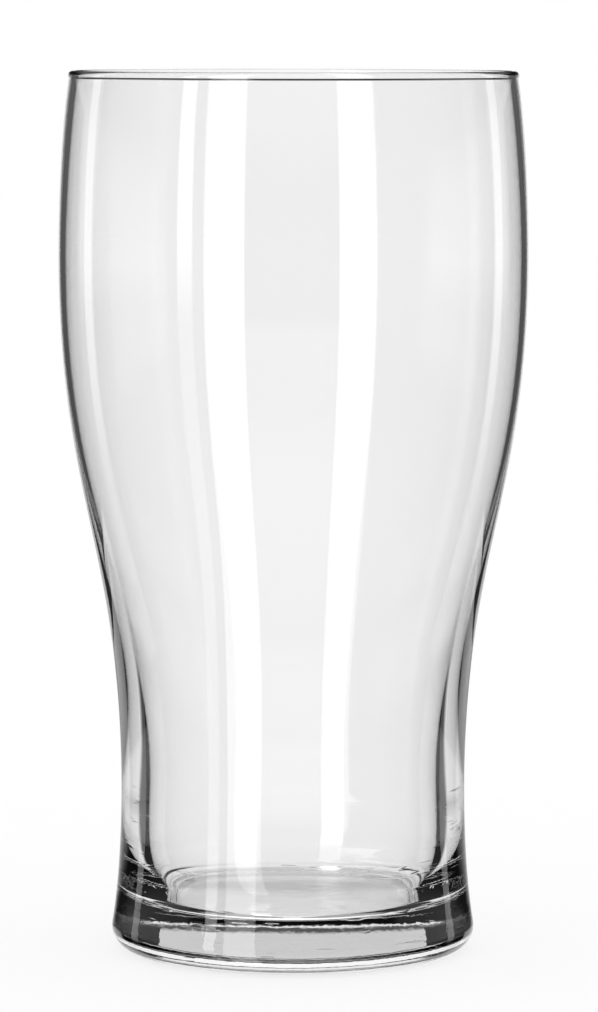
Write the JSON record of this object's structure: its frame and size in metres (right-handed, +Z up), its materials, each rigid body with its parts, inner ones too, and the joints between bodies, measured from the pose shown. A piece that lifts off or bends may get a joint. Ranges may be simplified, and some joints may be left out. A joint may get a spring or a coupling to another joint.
{
  "type": "pint glass",
  "caption": "Tulip-shaped pint glass in clear glass: narrow waist over a heavy flared foot, bulging upper body and a rounded lip.",
  "frame": {"origin": "centre of the plane that the glass stands on, on its axis of turning", "axes": "+Z up along the axis of turning, from the foot to the lip; X and Y are level and alike"},
  "size_m": [0.0846, 0.0846, 0.159],
  "materials": {
    "clear_glass": "fire-polished, clear, high gloss"
  },
  "bodies": {
    "root": {"pint_glass": "clear_glass"}
  },
  "joints": []
}
